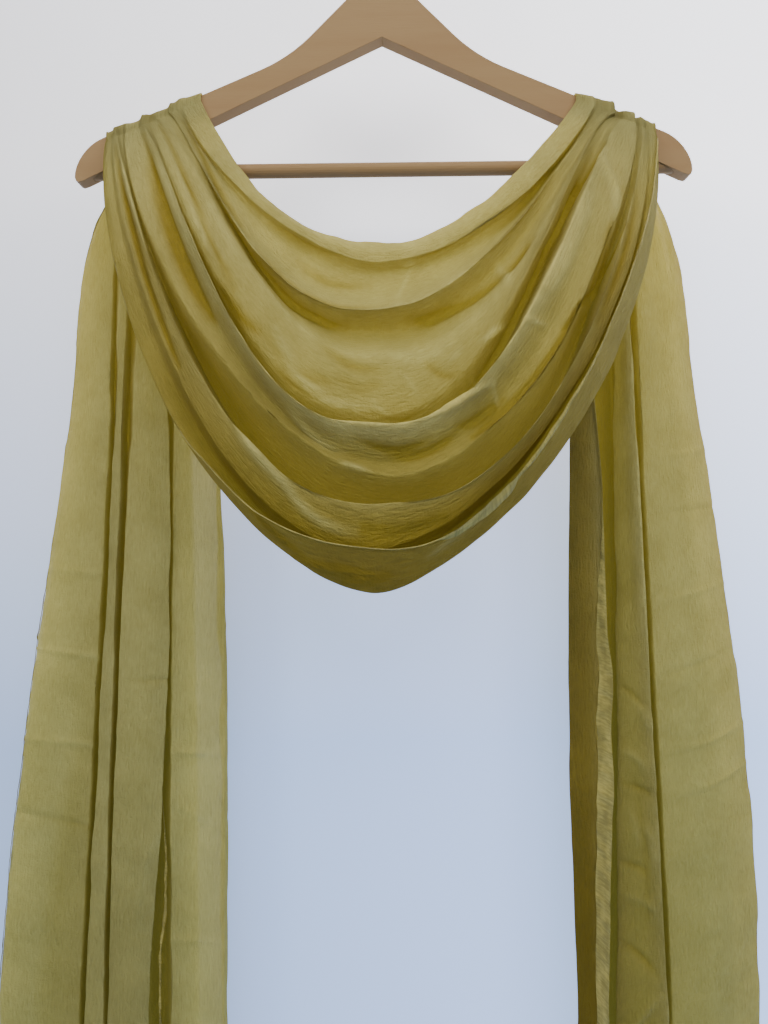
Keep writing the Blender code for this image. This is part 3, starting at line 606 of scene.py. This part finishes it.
def sheer_with_painted_shading(values, height, per_fold, spread):
    """How few layers lie behind each point: its fold's value, raised on ridges as a painted
    highlight and lowered in troughs as painted shade.

    Between two folds the value falls from the higher one as a power of the distance that is
    left, so that pale edges stay narrow.  spread, from 0 to 1, is how far the folds differ at
    each column.
    """
    values = np.asarray(values)
    folds = np.arange(len(height)) / per_fold
    first = np.minimum(folds.astype(int), len(values) - 2)
    start, end = values[first], values[first + 1]
    left = np.where(start > end, 1.0 - (folds - first), folds - first)
    rows = np.minimum(start, end) + np.abs(start - end) * left ** PALE_EDGE
    # painted highlight on ridges, painted shade in troughs
    painted_shading = np.clip(height, -2.5, 2.0) * CREASE_PAINTED_SHADING
    return EVEN_SHEER + (rows[:, None] - EVEN_SHEER) * spread + painted_shading


def paint_pocket_shade(sheer, part, per_fold):
    """Paint shade into the deep places between the swag's folds by lowering their sheer value, as
    if many layers lay there.
    """
    folds = np.arange(len(sheer)) / per_fold
    names = [fold.name for fold in SWAG_FOLDS]
    for pocket in POCKETS:
        if pocket.back > 0:
            across = np.exp(-((folds - names.index(pocket.fold)) / POCKET_SPREAD) ** 2)
            beside = np.exp(-((part - pocket.at) / pocket.reach) ** 2)
            sheer = sheer - across[:, None] * beside[None, :] * POCKET_PAINTED_SHADE
    return sheer


def edge_strip(name, cloth, along, width, turn, puckers, seed, material):
    """A narrow woven edge that lies on a cloth's free edge and is puckered along it.

    cloth is the cloth's grid counted from the free edge inwards.  Each point lies on it at a
    share of the strip's width from the edge, raised by a low arch and by uneven short waves.
    """
    rows, columns = cloth.shape[:2]
    steps = np.linalg.norm(np.diff(cloth, axis=0), axis=-1)
    inward = np.concatenate((np.zeros((1, columns)), np.cumsum(steps, axis=0)))
    shares = np.linspace(0.0, 1.0, STRIP_ROWS)
    uneven = np.minimum(0.25 * width, 0.7) * soft_noise(along, along * 0.0, STRIP_WANDER, seed)
    wanted = shares[:, None] * (width + uneven)[None, :]
    row = np.clip((inward[:, None, :] <= wanted[None]).sum(axis=0) - 1, 0, rows - 2)
    column = np.arange(columns)
    start, end = inward[row, column], inward[row + 1, column]
    part = np.clip((wanted - start) / (end - start + 1e-9), 0.0, 1.0)[..., None]
    strip, raised = (values[row, column] * (1.0 - part) + values[row + 1, column] * part
                     for values in (cloth, grid_normals(cloth)))
    arch = np.sin(math.pi * shares)[:, None] * STRIP_ARCH
    far, across = np.meshgrid(along, shares * 6.0)
    wave = soft_noise(far + across * 0.5, across, PUCKERS, seed + 1)
    wave = wave * puckers * np.clip(width / 3.0, 0.15, 1.0)
    strip += raised * (turn * (STRIP_LIFT + arch + wave))[..., None]
    far, across = np.meshgrid(along, shares * width.mean())
    return make_cloth(name, strip, far, across, STRIP_SHEER, material)


def selvedge_widths(widths, part):
    """How wide a selvedge is at each part of its edge's length."""
    return np.interp(part, [place.at for place in widths], [place.width for place in widths])


def grid_normals(grid):
    """Unit normals of a grid of points, from the cross product of its two directions."""
    along = np.gradient(grid, axis=1)
    across = np.gradient(grid, axis=0)
    normal = np.cross(along, across)
    return normal / (np.linalg.norm(normal, axis=-1, keepdims=True) + 1e-9)


def sheet_coordinates(grid):
    """Distance along and across the cloth at every point of a grid, in millimetres."""
    along = np.linalg.norm(np.diff(grid, axis=1), axis=-1).mean(axis=0)
    across = np.linalg.norm(np.diff(grid, axis=0), axis=-1).mean(axis=1)
    x = np.concatenate(([0.0], np.cumsum(along)))
    y = np.concatenate(([0.0], np.cumsum(across)))
    return np.meshgrid(x, y)


def make_cloth(name, grid, along, across, sheer, material):
    """A thin shell through a grid of points, with its sheet coordinates as its UV map.

    The point attribute sheer tells the material how few layers lie behind, and carries painted
    shade and painted highlights too.
    """
    rows, columns = grid.shape[:2]
    corner = np.arange(rows * columns).reshape(rows, columns)
    faces = np.stack((corner[:-1, :-1], corner[:-1, 1:], corner[1:, 1:], corner[1:, :-1]), axis=-1)
    faces = faces.reshape(-1, 4)
    mesh = bpy.data.meshes.new(name)
    mesh.vertices.add(rows * columns)
    mesh.vertices.foreach_set("co", (grid * MM).astype(np.float32).ravel())
    mesh.loops.add(faces.size)
    mesh.loops.foreach_set("vertex_index", faces.astype(np.int32).ravel())
    mesh.polygons.add(len(faces))
    mesh.polygons.foreach_set("loop_start", np.arange(0, faces.size, 4, dtype=np.int32))
    uv = mesh.uv_layers.new(name="sheet")
    place = np.stack((along, across), axis=-1).reshape(-1, 2) * MM
    uv.data.foreach_set("uv", place[faces.ravel()].astype(np.float32).ravel())
    layers = mesh.attributes.new("sheer", "FLOAT", "POINT")
    sheer = np.broadcast_to(sheer, (rows, columns))
    layers.data.foreach_set("value", sheer.astype(np.float32).ravel())
    mesh.update(calc_edges=True)
    mesh.validate()
    mesh.shade_smooth()
    mesh.materials.append(material)
    cloth = bpy.data.objects.new(name, mesh)
    bpy.context.scene.collection.objects.link(cloth)
    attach(cloth, BODY)
    return cloth


# ---- materials

def is_socket(value):
    """Whether a value is a socket of a node."""
    return isinstance(value, bpy.types.NodeSocket)


def node(tree, kind, inputs=None, **settings):
    """A shader node; inputs gives each of its sockets a value, or the socket that feeds it.

    It stands one step to the right of the nodes that feed it, below those already there.
    """
    inputs = inputs or {}
    feeding = [value.node.location.x for value in inputs.values() if is_socket(value)]
    x = max(feeding, default=-NODE_STEP) + NODE_STEP
    row = sum(other.location.x == x for other in tree.nodes)
    made = tree.nodes.new(kind)
    made.location = (x, -row * NODE_STEP)
    for key, value in settings.items():
        setattr(made, key, value)
    for key, value in inputs.items():
        if is_socket(value):
            tree.links.new(value, made.inputs[key])
        else:
            made.inputs[key].default_value = value
    return made


def noise(tree, vector, scale=1.0, detail=2.0, roughness=0.5, distortion=0.0):
    """A noise texture's value at the coordinates in vector."""
    inputs = {"Vector": vector, "Scale": scale, "Detail": detail, "Roughness": roughness,
              "Distortion": distortion}
    return node(tree, "ShaderNodeTexNoise", inputs).outputs["Fac"]


def stretch(tree, vector, scale):
    """Coordinates multiplied by a scale for each axis."""
    inputs = {"Vector": vector, "Scale": scale}
    return node(tree, "ShaderNodeMapping", inputs).outputs["Vector"]


def remap(tree, value, start=0.0, end=1.0, low=0.0, high=1.0):
    """A value brought in a straight line from between start and end to between low and high."""
    inputs = {"Value": value, "From Min": start, "From Max": end, "To Min": low, "To Max": high}
    return node(tree, "ShaderNodeMapRange", inputs).outputs["Result"]


def combine(tree, operation, *operands):
    """One step of arithmetic on values."""
    inputs = dict(enumerate(operands))
    return node(tree, "ShaderNodeMath", inputs, operation=operation).outputs[0]


def blend(tree, share, first, second):
    """The colour at a share of the way between two, each a colour or a socket that gives one."""
    first, second = (side if is_socket(side) else (*side, 1.0) for side in (first, second))
    inputs = {"Factor": share, "A": first, "B": second}
    return node(tree, "ShaderNodeMix", inputs, data_type="RGBA").outputs["Result"]


def scale_colour(tree, colour, share):
    """A colour multiplied by a share."""
    inputs = {"Vector": colour, "Scale": share}
    return node(tree, "ShaderNodeVectorMath", inputs, operation="SCALE").outputs["Vector"]


def bump(tree, height, strength=1.0):
    """The surface's normal, turned by a height in metres."""
    inputs = {"Height": height, "Strength": strength, "Distance": 1.0}
    return node(tree, "ShaderNodeBump", inputs).outputs["Normal"]


def darker(colour, share):
    """A colour multiplied by a share, as a list."""
    return [channel * share for channel in colour]


def mix_shaders(tree, share, first, second):
    """A mix of two shader nodes; share is how much of the second there is."""
    inputs = {"Fac": share, 1: first.outputs["BSDF"], 2: second.outputs["BSDF"]}
    return node(tree, "ShaderNodeMixShader", inputs).outputs["Shader"]


def new_material(name):
    """An empty node material, and its tree."""
    material = bpy.data.materials.new(name)
    material.use_nodes = True
    material.node_tree.nodes.clear()
    return material, material.node_tree


def new_group(name, inputs, outputs):
    """An empty node group with named sockets, and the sockets that enter it."""
    group = bpy.data.node_groups.new(name, "ShaderNodeTree")
    for in_out, kinds in (("INPUT", inputs), ("OUTPUT", dict.fromkeys(outputs, "Float"))):
        for socket, kind in kinds.items():
            group.interface.new_socket(socket, in_out=in_out, socket_type="NodeSocket" + kind)
    return group, node(group, "NodeGroupInput").outputs


def chiffon_group():
    """Node group: the crinkle and uneven thread of chiffon on the sheet's own coordinates."""
    group, entry = new_group("Chiffon Weave", {"Sheet": "Vector", "Crinkle Size": "Float"},
                             ("Height", "Tone"))
    sheet = entry["Sheet"]
    lengthwise = stretch(group, sheet, (130.0, 900.0, 1.0))
    crinkle = noise(group, lengthwise, detail=4.0, roughness=0.6, distortion=0.5)
    thread = noise(group, sheet, scale=750.0, roughness=0.6)
    cloud = noise(group, sheet, scale=30.0, detail=4.0, roughness=0.6)

    thread_height, cloud_height, crinkle_tone, cloud_tone = 0.4, 1.4, 0.55, 0.45
    grain = combine(group, "MULTIPLY_ADD", thread, thread_height, crinkle)
    rumple = combine(group, "MULTIPLY_ADD", cloud, cloud_height, grain)
    height = combine(group, "MULTIPLY", rumple, entry["Crinkle Size"])
    speckle = combine(group, "MULTIPLY", crinkle, crinkle_tone)
    tone = combine(group, "MULTIPLY_ADD", cloud, cloud_tone, speckle)
    node(group, "NodeGroupOutput", {"Height": height, "Tone": tone})
    return group


def chiffon_material(settings, group):
    """Sheer chiffon: a soft dyed surface that lets warmer light through.

    Where layers lie together it is deeper in colour and closed; a single layer is paler,
    glows more and shows a little of what is behind.  The same values also paint shade and
    highlights onto the folds, and painted shade darkens the colour a little towards the bottom.
    """
    material, tree = new_material("olive_chiffon")
    sheet = node(tree, "ShaderNodeUVMap", uv_map="sheet").outputs["UV"]
    weave = node(tree, "ShaderNodeGroup", {"Crinkle Size": settings.crinkle, "Sheet": sheet},
                 node_tree=group).outputs
    layers = node(tree, "ShaderNodeAttribute", attribute_name="sheer").outputs["Fac"]

    depth = remap(tree, layers, end=FEW_LAYERS)
    dye = blend(tree, depth, settings.deep_colour, settings.colour)
    alone = remap(tree, layers, start=FEW_LAYERS)
    thin = blend(tree, alone, dye, settings.pale_colour)
    shade = remap(tree, weave["Tone"], start=0.3, end=0.7, low=0.66, high=1.24)
    place = node(tree, "ShaderNodeTexCoord").outputs["Object"]
    parts = node(tree, "ShaderNodeSeparateXYZ", {"Vector": place})
    # painted shade: the colour darkens by up to 22 per cent towards the bottom
    lower = remap(tree, parts.outputs["Z"], start=-1.0, end=-0.45, low=0.78)
    tone = scale_colour(tree, thin, combine(tree, "MULTIPLY", shade, lower))
    normal = bump(tree, weave["Height"])

    cover = remap(tree, layers, start=0.8, end=1.3, low=1.0, high=0.72)
    face = node(tree, "ShaderNodeBsdfPrincipled", {
        "Base Color": tone, "Roughness": 0.7, "Alpha": cover, "Normal": normal,
        "Specular IOR Level": 0.08, "Sheen Weight": 0.03, "Sheen Roughness": 0.5,
        "Sheen Tint": (0.9, 0.88, 0.6, 1.0)})
    through = node(tree, "ShaderNodeBsdfTranslucent", {
        "Color": (*settings.glow, 1.0), "Normal": normal})
    passing = remap(tree, layers, low=CLOSED_SHARE * settings.see_through,
                    high=settings.see_through)
    surface = mix_shaders(tree, passing, face, through)
    node(tree, "ShaderNodeOutputMaterial", {"Surface": surface})
    return material


def selvedge_material(settings):
    """The woven edge: tight, lustrous threads in fine ribs across it, with painted sheen in paler
    patches.
    """
    material, tree = new_material("selvedge_thread")
    sheet = node(tree, "ShaderNodeUVMap", uv_map="sheet").outputs["UV"]
    ribs = stretch(tree, sheet, (620.0, 190.0, 1.0))
    threads = noise(tree, ribs, detail=3.0, roughness=0.6)
    # painted highlight: paler patches of sheen along the strip
    sheen_patches = noise(tree, stretch(tree, sheet, (30.0, 150.0, 1.0)))
    share = remap(tree, combine(tree, "ADD", threads, sheen_patches), start=0.82, end=1.28)
    tone = blend(tree, share, darker(settings.selvedge, THREAD_SHADE), settings.selvedge)
    height = combine(tree, "MULTIPLY", threads, THREAD_HEIGHT)
    face = node(tree, "ShaderNodeBsdfPrincipled", {
        "Base Color": tone, "Roughness": 0.42, "Specular IOR Level": 0.1,
        "Normal": bump(tree, height)})
    node(tree, "ShaderNodeOutputMaterial", {"Surface": face.outputs["BSDF"]})
    return material


def wood_group():
    """Node group: long wavering grain with fine pores, on Object coordinates."""
    group, entry = new_group("Wood Grain", {"Place": "Vector"}, ("Grain", "Height"))
    bands = stretch(group, entry["Place"], (9.0, 60.0, 95.0))
    grain = noise(group, bands, detail=4.0, roughness=0.55)
    fine = stretch(group, entry["Place"], (60.0, 900.0, 900.0))
    pores = noise(group, fine, detail=3.0, roughness=0.6)
    height = combine(group, "MULTIPLY", pores, PORE_DEPTH)
    node(group, "NodeGroupOutput", {"Grain": grain, "Height": height})
    return group


def wood_material(name, settings, group, shade):
    """Smooth satin wood with its grain running along the piece; shade darkens its colours as
    painted shade.
    """
    material, tree = new_material(name)
    place = node(tree, "ShaderNodeTexCoord").outputs["Object"]
    grain = node(tree, "ShaderNodeGroup", {"Place": place}, node_tree=group).outputs
    share = remap(tree, grain["Grain"], start=0.3, end=0.6)
    tone = blend(tree, share, darker(settings.wood_dark, shade), darker(settings.wood, shade))
    face = node(tree, "ShaderNodeBsdfPrincipled", {
        "Base Color": tone, "Roughness": 0.55, "Specular IOR Level": 0.18,
        "Normal": bump(tree, grain["Height"], strength=0.5)})
    node(tree, "ShaderNodeOutputMaterial", {"Surface": face.outputs["BSDF"]})
    return material


def steel_material(settings):
    """Drawn wire: fine streaks vary its polish."""
    material, tree = new_material("hook_steel")
    place = node(tree, "ShaderNodeTexCoord").outputs["Object"]
    streaks = noise(tree, place, scale=400.0, detail=3.0)
    polish = remap(tree, streaks, low=0.2, high=0.38)
    face = node(tree, "ShaderNodeBsdfPrincipled", {
        "Base Color": (*settings.steel, 1.0), "Metallic": 1.0, "Roughness": polish})
    node(tree, "ShaderNodeOutputMaterial", {"Surface": face.outputs["BSDF"]})
    return material


def surround_material(name, settings, one_sided):
    """Matt paint with painted light: a cool cast that grows downwards and a brightening to one
    side; it is lit a little from within.

    A one-sided surface is clear from behind.
    """
    material, tree = new_material(name)
    place = node(tree, "ShaderNodeTexCoord").outputs["Object"]
    parts = node(tree, "ShaderNodeSeparateXYZ", {"Vector": place}).outputs
    height = remap(tree, parts["Z"], start=-0.62, end=-0.15)
    # painted cool light: the colour turns bluer towards the bottom
    fade = blend(tree, height, settings.low_painted_cool_light, settings.wall_colour)
    cloud = noise(tree, place, scale=3.0, detail=4.0)
    uneven = remap(tree, cloud, low=0.98)
    # painted light: the paint brightens towards +X
    painted_side_light = remap(tree, parts["X"], start=-0.35, end=0.35, low=0.66, high=1.22)
    tone = scale_colour(tree, fade, combine(tree, "MULTIPLY", uneven, painted_side_light))
    paint = node(tree, "ShaderNodeBsdfPrincipled", {
        "Base Color": tone, "Roughness": 0.85, "Emission Color": tone,
        "Emission Strength": settings.wall_glow})
    surface = paint.outputs["BSDF"]
    if one_sided:
        side = node(tree, "ShaderNodeNewGeometry").outputs["Backfacing"]
        clear = node(tree, "ShaderNodeBsdfTransparent")
        surface = mix_shaders(tree, side, paint, clear)
    node(tree, "ShaderNodeOutputMaterial", {"Surface": surface})
    return material


# ---- operators

class STOLE_OT_finish_hanger(bpy.types.Operator):
    """Give the hanger's board, bar and hook their wood and steel finishes."""
    bl_idname = "stole.finish_hanger"
    bl_label = "Finish Hanger"

    def execute(self, context):
        settings = context.scene.stole_hanger
        grain = wood_group()
        finishes = {
            "hanger_board": wood_material("board_wood", settings, grain, 1.0),
            # the bar gets a darker copy of the board's wood, as painted shade
            "hanger_bar": wood_material("bar_wood", settings, grain, BAR_PAINTED_SHADE),
            "hanger_hook": steel_material(settings),
        }
        for name, material in finishes.items():
            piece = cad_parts[name]
            piece.data.materials.clear()
            piece.data.materials.append(material)
        return {"FINISHED"}


class STOLE_OT_drape_swag(bpy.types.Operator):
    """Drape the stole's middle as a cowl in front, and over both arms."""
    bl_idname = "stole.drape_swag"
    bl_label = "Drape Swag"

    def execute(self, context):
        settings = context.scene.stole_cloth
        fine, columns, over = settings.rows_per_fold, settings.columns, OVER_ARM_COLUMNS
        lines = [np.vstack((over_arm_line(fold, -1, over)[::-1],
                            swag_line(fold, columns)[1:-1],
                            over_arm_line(fold, 1, over))) for fold in SWAG_FOLDS]
        crisp = [np.concatenate((np.full(over + 1, fold.crisp_l),
                                 fold_crispness(fold, columns - 1),
                                 np.full(over + 1, fold.crisp_r))) for fold in SWAG_FOLDS]
        grid = between_folds(lines, crisp, fine)
        height = crease_heights(grid, SWAG_CREASES, over, over + columns, fine)
        part = np.clip((np.arange(grid.shape[1]) - over) / columns, 0.0, 1.0)
        middle = np.sin(math.pi * part) ** 1.1
        loose = ARM_LOOSENESS + (1.0 - ARM_LOOSENESS) * middle
        grid, along, across = crumple(grid, height, -1, loose, seed=3)
        # the sheer values paint highlights on ridges and lips and shade into troughs, valleys and
        # pockets
        sheer = sheer_with_painted_shading([fold.sheer for fold in SWAG_FOLDS], height, fine, middle)
        sheer = paint_pocket_shade(sheer, part, fine)
        cloth = make_cloth("swag_cloth", grid, along, across, sheer,
                           chiffon_material(settings, chiffon_group()))
        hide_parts("swag", "left_shoulder", "right_shoulder")

        edge = slice(over + int(SWAG_SELVEDGE[0].at * columns), over + columns + 1)
        strip = edge_strip("swag_selvedge", grid[::-1][:2 * fine, edge], along[0, edge],
                           selvedge_widths(SWAG_SELVEDGE, part[edge]), -1, puckers=0.6, seed=21,
                           material=selvedge_material(settings))
        return {"FINISHED"}


class STOLE_OT_hang_panels(bpy.types.Operator):
    """Hang the stole's two ends behind the hanger."""
    bl_idname = "stole.hang_panels"
    bl_label = "Hang Panels"

    def execute(self, context):
        settings = context.scene.stole_cloth
        fine = settings.rows_per_fold
        material = bpy.data.materials["olive_chiffon"]
        thread = bpy.data.materials["selvedge_thread"]
        drops = panel_drops()
        for name, side, hangs, creases in (("left", -1, LEFT_HANGS, LEFT_CREASES),
                                           ("right", 1, RIGHT_HANGS, RIGHT_CREASES)):
            lines = [panel_line(fold, hang, side, drop, settings.panel_columns)
                     for fold, hang, drop in zip(SWAG_FOLDS, hangs, drops)]
            crisp = [np.full(settings.panel_columns + 1, hang.crisp) for hang in hangs]
            grid = between_folds(lines, crisp, fine)
            height = crease_heights(grid, creases, 0, settings.panel_columns, fine)
            grid, along, across = crumple(grid, height, side, 1.0, seed=7)
            near = np.clip(1.0 - np.arange(2 * fine) / (1.6 * fine), 0.0, 1.0) ** 1.5
            low = np.clip(np.linspace(-1.0, 4.0, grid.shape[1]), 0.0, 1.0)
            ripple = soft_noise(along[0], along[0] * 0.0, EDGE_WANDER, seed=61) * low
            grid[:2 * fine, :, 0] += near[:, None] * ripple[None, :]
            # painted highlight and shade of the creases, and painted shade deepening towards the
            # hems
            sheer = sheer_with_painted_shading([hang.sheer for hang in hangs], height * PANEL_PAINTED_SHADING, fine, 1.0)
            sheer = sheer - np.linspace(HIGH_PAINTED_SHADE, LOW_PAINTED_SHADE, grid.shape[1])
            cloth = make_cloth(name + "_panel_cloth", grid, along, across, sheer, material)
            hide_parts(name + "_panel")
            strips = self.edges(side, grid, along[0], thread)
        return {"FINISHED"}

    @staticmethod
    def edges(side, grid, along, thread):
        """The panel's woven edges: one along each side that shows, and one in the left recess."""
        share = np.linspace(0.0, 1.0, len(along))
        if side > 0:
            width = selvedge_widths(RIGHT_SELVEDGE, share)
            return [edge_strip("right_selvedge", grid[:STRIP_REACH], along, width, -1,
                               puckers=0.7, seed=31, material=thread)]
        width = selvedge_widths(LEFT_SELVEDGE, share)
        outer = edge_strip("left_selvedge", grid[::-1][:STRIP_REACH], along, width, 1,
                           puckers=0.25, seed=41, material=thread)
        z = np.linspace(RECESS_EDGE[0].z, RECESS_EDGE[-1].z, RECESS_STEPS)
        x = np.interp(-z, [-place.z for place in RECESS_EDGE], [place.x for place in RECESS_EDGE])
        x = np.convolve(np.pad(x, RECESS_EASE, mode="edge"),
                        np.full(2 * RECESS_EASE + 1, 1 / (2 * RECESS_EASE + 1)), mode="valid")
        inward = np.linspace(0.0, RECESS_WIDTH, STRIP_ROWS)[:, None]
        ribbon = np.stack(np.broadcast_arrays(x - inward, RECESS_DEPTH + 0.5 * inward, z), axis=-1)
        width = RECESS_WIDTH * 0.9 * np.clip((RECESS_EDGE[1].z - z) / 60.0, 0.05, 1.0)
        inner = edge_strip("recess_selvedge", ribbon, -z, width, 1,
                           puckers=0.8, seed=51, material=thread)
        return [outer, inner]


class STOLE_OT_set_stage(bpy.types.Operator):
    """Set the camera, the soft lights, the pale wall and the floor."""
    bl_idname = "stole.set_stage"
    bl_label = "Set Stage"

    def execute(self, context):
        settings = context.scene.stole_stage
        scene = context.scene
        data = bpy.data.cameras.new("camera")
        data.sensor_width = 36.0
        data.lens = LENS
        camera = bpy.data.objects.new("camera", data)
        camera.location = (CAMERA_SIDE, -settings.camera_distance, settings.camera_height)
        camera.rotation_euler = (math.pi / 2, CAMERA_ROLL, 0.0)
        scene.collection.objects.link(camera)
        scene.camera = camera

        low = CAD_BOX[0][2] - FLOOR_DROP
        gap, half, top = settings.wall_gap, WALL_HALF, WALL_TOP
        wall = self.flat("wall", settings, True, [
            (-half, gap, low), (half, gap, low), (half, gap, top), (-half, gap, top)])
        half = FLOOR_HALF
        floor = self.flat("floor", settings, False, [
            (-half, -half, low), (half, -half, low), (half, half, low), (-half, half, low)])

        for lamp in LAMPS:
            light = bpy.data.lights.new(lamp.name, "AREA")
            light.shape = "DISK"
            light.size = lamp.size
            light.color = LAMP_COLOUR
            light.energy = getattr(settings, lamp.power)
            holder = bpy.data.objects.new(lamp.name, light)
            holder.location = lamp.place
            aim = Vector(LAMP_TARGET) - Vector(lamp.place)
            holder.rotation_euler = aim.to_track_quat("-Z", "Y").to_euler()
            scene.collection.objects.link(holder)

        world = bpy.data.worlds.new("soft_sky")
        world.use_nodes = True
        tree = world.node_tree
        direction = node(tree, "ShaderNodeTexCoord").outputs["Generated"]
        parts = node(tree, "ShaderNodeSeparateXYZ", {"Vector": direction})
        height = remap(tree, parts.outputs["Z"], start=-0.5)
        sky = tree.nodes["Background"].inputs
        sky["Strength"].default_value = settings.sky
        tree.links.new(blend(tree, height, LOW_SKY, HIGH_SKY), sky["Color"])
        scene.world = world
        return {"FINISHED"}

    @staticmethod
    def flat(name, settings, one_sided, corners):
        """One face through four corners, with the pale paint."""
        mesh = bpy.data.meshes.new(name)
        mesh.from_pydata(corners, [], [(0, 1, 2, 3)])
        mesh.materials.append(surround_material(name + "_paint", settings, one_sided))
        thing = bpy.data.objects.new(name, mesh)
        bpy.context.scene.collection.objects.link(thing)
        return thing


class STOLE_PT_panel(bpy.types.Panel):
    """The stole's steps and settings."""
    bl_idname = "STOLE_PT_panel"
    bl_label = "Dupatta Stole"
    bl_space_type = "VIEW_3D"
    bl_region_type = "UI"
    bl_category = "Stole"

    def draw(self, context):
        layout = self.layout
        for operator in OPERATORS:
            layout.operator(operator.bl_idname)
        for name in SETTINGS:
            group = getattr(context.scene, name)
            box = layout.box()
            for key in group.__annotations__:
                box.prop(group, key)


OPERATORS = (STOLE_OT_finish_hanger, STOLE_OT_drape_swag, STOLE_OT_hang_panels, STOLE_OT_set_stage)
SETTINGS = {
    "stole_cloth": StoleClothSettings,
    "stole_hanger": StoleHangerSettings,
    "stole_stage": StoleStageSettings,
}


def register():
    """Register the classes and hang their settings on the scene."""
    for kind in (*SETTINGS.values(), *OPERATORS, STOLE_PT_panel):
        bpy.utils.register_class(kind)
    for name, kind in SETTINGS.items():
        setattr(bpy.types.Scene, name, PointerProperty(type=kind))


def unregister():
    """Take the settings and the classes away again."""
    for name in SETTINGS:
        delattr(bpy.types.Scene, name)
    for kind in reversed((*SETTINGS.values(), *OPERATORS, STOLE_PT_panel)):
        bpy.utils.unregister_class(kind)


def main():
    """Run every step."""
    register()
    bpy.ops.stole.finish_hanger()
    bpy.ops.stole.drape_swag()
    bpy.ops.stole.hang_panels()
    bpy.ops.stole.set_stage()


if __name__ == "__main__":
    main()
